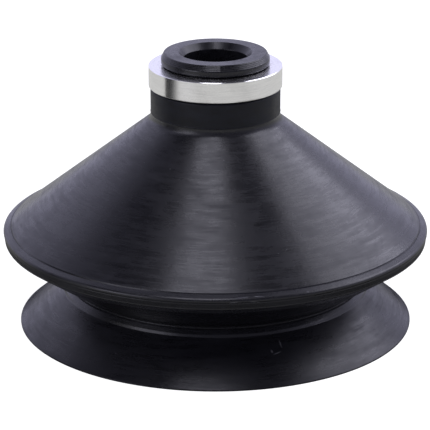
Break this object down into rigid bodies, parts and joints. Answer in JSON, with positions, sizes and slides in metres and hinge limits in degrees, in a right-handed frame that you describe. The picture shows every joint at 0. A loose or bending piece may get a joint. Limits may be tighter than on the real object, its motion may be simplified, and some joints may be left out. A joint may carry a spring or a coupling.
{
  "type": "vacuum suction cup",
  "caption": "Black rubber bellows vacuum cup with one and a half folds, a wide thin sealing lip and a short neck held by an aluminium clamp ring",
  "frame": {"origin": "centre of the sealing edge, in the plane that the cup stands on", "axes": "+Z is the cup's axis, from the sealing lip up to the neck; the cup is round, so +X and +Y are any two directions square to it"},
  "size_m": [0.1186, 0.1186, 0.0773],
  "materials": {
    "rubber": "satin moulded rubber, charcoal black",
    "aluminium": "fine turned, bright"
  },
  "bodies": {
    "neck": {"neck_sleeve": "rubber", "clamp_ring": "aluminium"},
    "shoulder": {"cone_shoulder": "rubber"},
    "haunch": {"cone_haunch": "rubber"},
    "fold": {"cone_wall": "rubber", "fold_rim": "rubber"},
    "waist": {"fold_web": "rubber", "waist_ring": "rubber"},
    "lip": {"lip_skirt": "rubber", "lip_edge": "rubber"}
  },
  "joints": [
    {"name": "tilt_x", "type": "hinge", "parent": "neck", "child": "shoulder", "pos_m": [0, 0, 0.05013], "axis": [1, 0, 0], "range_deg": [-8, 8], "stiffness_Nm_per_rad": 1.5, "deforming": ["cone_shoulder"]},
    {"name": "tilt_y", "type": "hinge", "parent": "shoulder", "child": "haunch", "pos_m": [0, 0, 0.05013], "axis": [0, 1, 0], "range_deg": [-8, 8], "stiffness_Nm_per_rad": 1.5, "deforming": ["cone_haunch"]},
    {"name": "cone_flatten", "type": "slide", "parent": "haunch", "child": "fold", "axis": [0, 0, 1], "range_m": [0, 0.004]},
    {"name": "fold_stroke", "type": "slide", "parent": "fold", "child": "waist", "axis": [0, 0, 1], "range_m": [0, 0.012], "stiffness_N_per_m": 3000, "deforming": ["fold_web"]},
    {"name": "lip_flatten", "type": "slide", "parent": "waist", "child": "lip", "axis": [0, 0, 1], "range_m": [0, 0.006], "stiffness_N_per_m": 4000, "deforming": ["lip_skirt"]}
  ],
  "couplings": [
    {"joint": "cone_flatten", "follows": "fold_stroke", "ratio": 0.3333}
  ]
}
